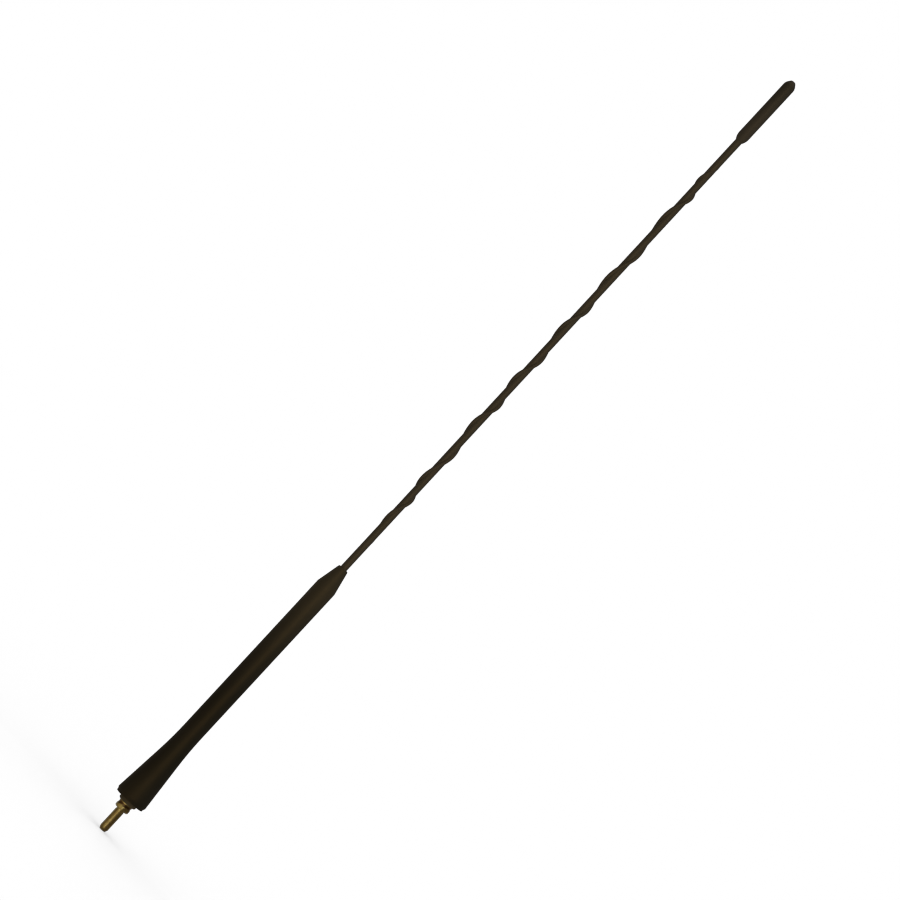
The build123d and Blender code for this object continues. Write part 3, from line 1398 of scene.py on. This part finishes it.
def stage_piece(
    name: str, points: Sequence[Sequence[float]], faces: Sequence[Sequence[int]], finish: Finish
) -> Object:
    """Add a piece of the studio.

    Args:
        name: Name of the piece.
        points: Its corners, in metres.
        faces: Corners of each of its faces.
        finish: What it is made of.

    Returns:
        The new object.
    """
    mesh = bpy.data.meshes.new(name)
    mesh.from_pydata(points, [], faces)
    mesh.materials.append(finish.material())
    piece = add_object(name, mesh)
    return piece


@dataclass(frozen=True)
class Stand:
    """How far from the mast a card stands, and the heights that it reaches between, in metres."""

    distance: float
    bottom: float
    top: float


SCREEN_STAND = Stand(distance=0.6, bottom=-3.0, top=1.2)
LOW_STAND = Stand(distance=0.6, bottom=-3.0, top=-0.35)
STUD_STAND = Stand(distance=0.1, bottom=-0.1, top=0.006)
FAR_STAND = Stand(distance=8.0, bottom=-8.0, top=8.0)


@dataclass(frozen=True)
class BentCard(ABC):
    """A card bent round the mast between two bearings from the front, in degrees."""

    name: str
    finish: Finish
    stand: Stand
    start: float
    stop: float
    step: float = 5.0

    def bend(self) -> Object:
        """Bend the card from its first bearing to its last.

        Returns:
            The new object.
        """
        parts = math.ceil((self.stop - self.start) / self.step)
        points: list[tuple[float, float, float]] = []
        for k in range(parts + 1):
            bearing = math.radians(self.start + (self.stop - self.start) * k / parts)
            x = self.stand.distance * math.sin(bearing)
            y = -self.stand.distance * math.cos(bearing)
            points += [(x, y, self.stand.bottom), (x, y, self.stand.top)]
        faces = [(i, i + 2, i + 3, i + 1) for i in range(0, 2 * parts, 2)]
        return stage_piece(self.name, points, faces, self.finish)

    @abstractmethod
    def place(self) -> None:
        """Put the card in the studio and say which rays see it."""


class MirrorCard(BentCard):
    """A card that only reflections see."""

    def place(self) -> None:
        """Put the card where the mast mirrors it, and hide it from everything else."""
        card = self.bend()
        card.visible_camera = False
        card.visible_diffuse = False
        card.visible_shadow = False
        card.visible_transmission = False


class Backdrop(BentCard):
    """A white card far behind the mast, which only the camera sees."""

    def place(self) -> None:
        """Hang the card so that nothing but shadow shows on it, as on the floor."""
        card = self.bend()
        card.is_shadow_catcher = True
        card.visible_diffuse = False
        card.visible_glossy = False
        card.visible_shadow = False
        card.visible_transmission = False


@dataclass
class Studio:
    """Camera, lamps, white floor and background, and the cards that brass and rubber mirror.

    Dark screens stand to the left and right, so that the edges of the black parts stay dark, and the white
    background shows between them as the sheen of the rubber. Small cards of its own stand round the stud, and
    far away a white card goes all the way round.
    """

    lean: float = 47.23  # degrees by which the mast rises to the right in the picture
    centre_height: float = 263.1  # millimetres up the mast at the picture's middle
    centre_side: float = -1.3  # and to the right of its axis
    picture_width: float = 486.0  # millimetres, at the mast
    lens: float = 200.0
    sensor: float = 36.0
    ambient: float = 0.5  # strength of the background as a fill light
    floor_size: float = 6.0  # metres
    cards: tuple[BentCard, ...] = (
        MirrorCard("left_screen", DARK_CARD, SCREEN_STAND, start=-165, stop=-6),
        MirrorCard("right_screen", DARK_CARD, SCREEN_STAND, start=30, stop=165),
        MirrorCard("low_screen", DARK_CARD, LOW_STAND, start=-6, stop=30),
        MirrorCard("stud_left_card", GREY_CARD, STUD_STAND, start=-150, stop=-68),
        MirrorCard("stud_pale_card", PALE_CARD, STUD_STAND, start=-68, stop=-33),
        MirrorCard("stud_front_card", WHITE_CARD, STUD_STAND, start=-33, stop=5),
        MirrorCard("stud_right_card", DARK_CARD, STUD_STAND, start=5, stop=150),
        Backdrop("backdrop", WHITE_CARD, FAR_STAND, start=-180, stop=180),
    )
    lamps: tuple[Lamp, ...] = (
        Lamp("front_softbox", bearing=30),
        Lamp("back_softbox", bearing=210),
    )

    def build(self) -> None:
        """Set up everything round the mast."""
        target = Vector((self.centre_side, 0, self.centre_height)) * MM
        self.add_camera(target)
        for lamp in self.lamps:
            lamp.place(target)
        for card in self.cards:
            card.place()
        self.add_floor()
        self.add_background()
        bpy.context.scene.view_settings.view_transform = "Standard"

    def add_camera(self, target: Vector) -> None:
        """Look along +Y at a target, with the camera rolled so that the mast leans as in the picture.

        Args:
            target: What stands at the picture's middle, in metres.
        """
        data = bpy.data.cameras.new("camera")
        data.lens = self.lens
        data.sensor_width = self.sensor
        camera = add_object("camera", data)
        lean = math.radians(self.lean)
        right = Vector((math.sin(lean), 0, math.cos(lean)))
        up = Vector((-math.cos(lean), 0, math.sin(lean)))
        back = right.cross(up)
        distance = self.picture_width / self.sensor * self.lens * MM
        turn = Matrix((right, up, back)).transposed().to_4x4()
        camera.matrix_world = Matrix.Translation(target + back * distance) @ turn
        bpy.context.scene.camera = camera

    def add_floor(self) -> None:
        """Lay a white floor under the mast that shows only the shadow on it."""
        half = self.floor_size / 2
        low = CAD_BOX[0].z
        corners = [(-half, -half, low), (half, -half, low), (half, half, low), (-half, half, low)]
        floor = stage_piece("floor", corners, [(0, 1, 2, 3)], WHITE_PAPER)
        floor.is_shadow_catcher = True
        floor.visible_glossy = False

    def add_background(self) -> None:
        """Make the background white where it is seen or mirrored, and a dim fill light elsewhere."""
        world = bpy.data.worlds.new("white_background")
        world.use_nodes = True
        tree = world.node_tree
        tree.nodes.clear()
        path = add_node(tree, "ShaderNodeLightPath")
        seen = path.outputs[Ray.CAMERA.value]
        for ray in (Ray.GLOSSY, Ray.TRANSMISSION):
            seen = add_node(
                tree, "ShaderNodeMath", {0: seen, 1: path.outputs[ray.value]}, operation="MAXIMUM"
            ).outputs[0]
        strength = add_node(
            tree, "ShaderNodeMapRange", {"Value": seen, "To Min": self.ambient, "To Max": 1.0}
        )
        white = add_node(tree, "ShaderNodeBackground", {"Color": linear("FFFFFF"), "Strength": strength})
        add_node(tree, "ShaderNodeOutputWorld", {"Surface": white})
        bpy.context.scene.world = world


def main() -> None:
    """Build and dress the mast from the stud up, then set the studio round it."""
    logging.basicConfig(level=logging.INFO, format="%(name)s: %(message)s")
    for assembly in (Stud(), Base(), Loading(), Whip(), TipCap()):
        assembly.build()
        assembly.dress()
    Studio().build()


if __name__ == "__main__":
    main()
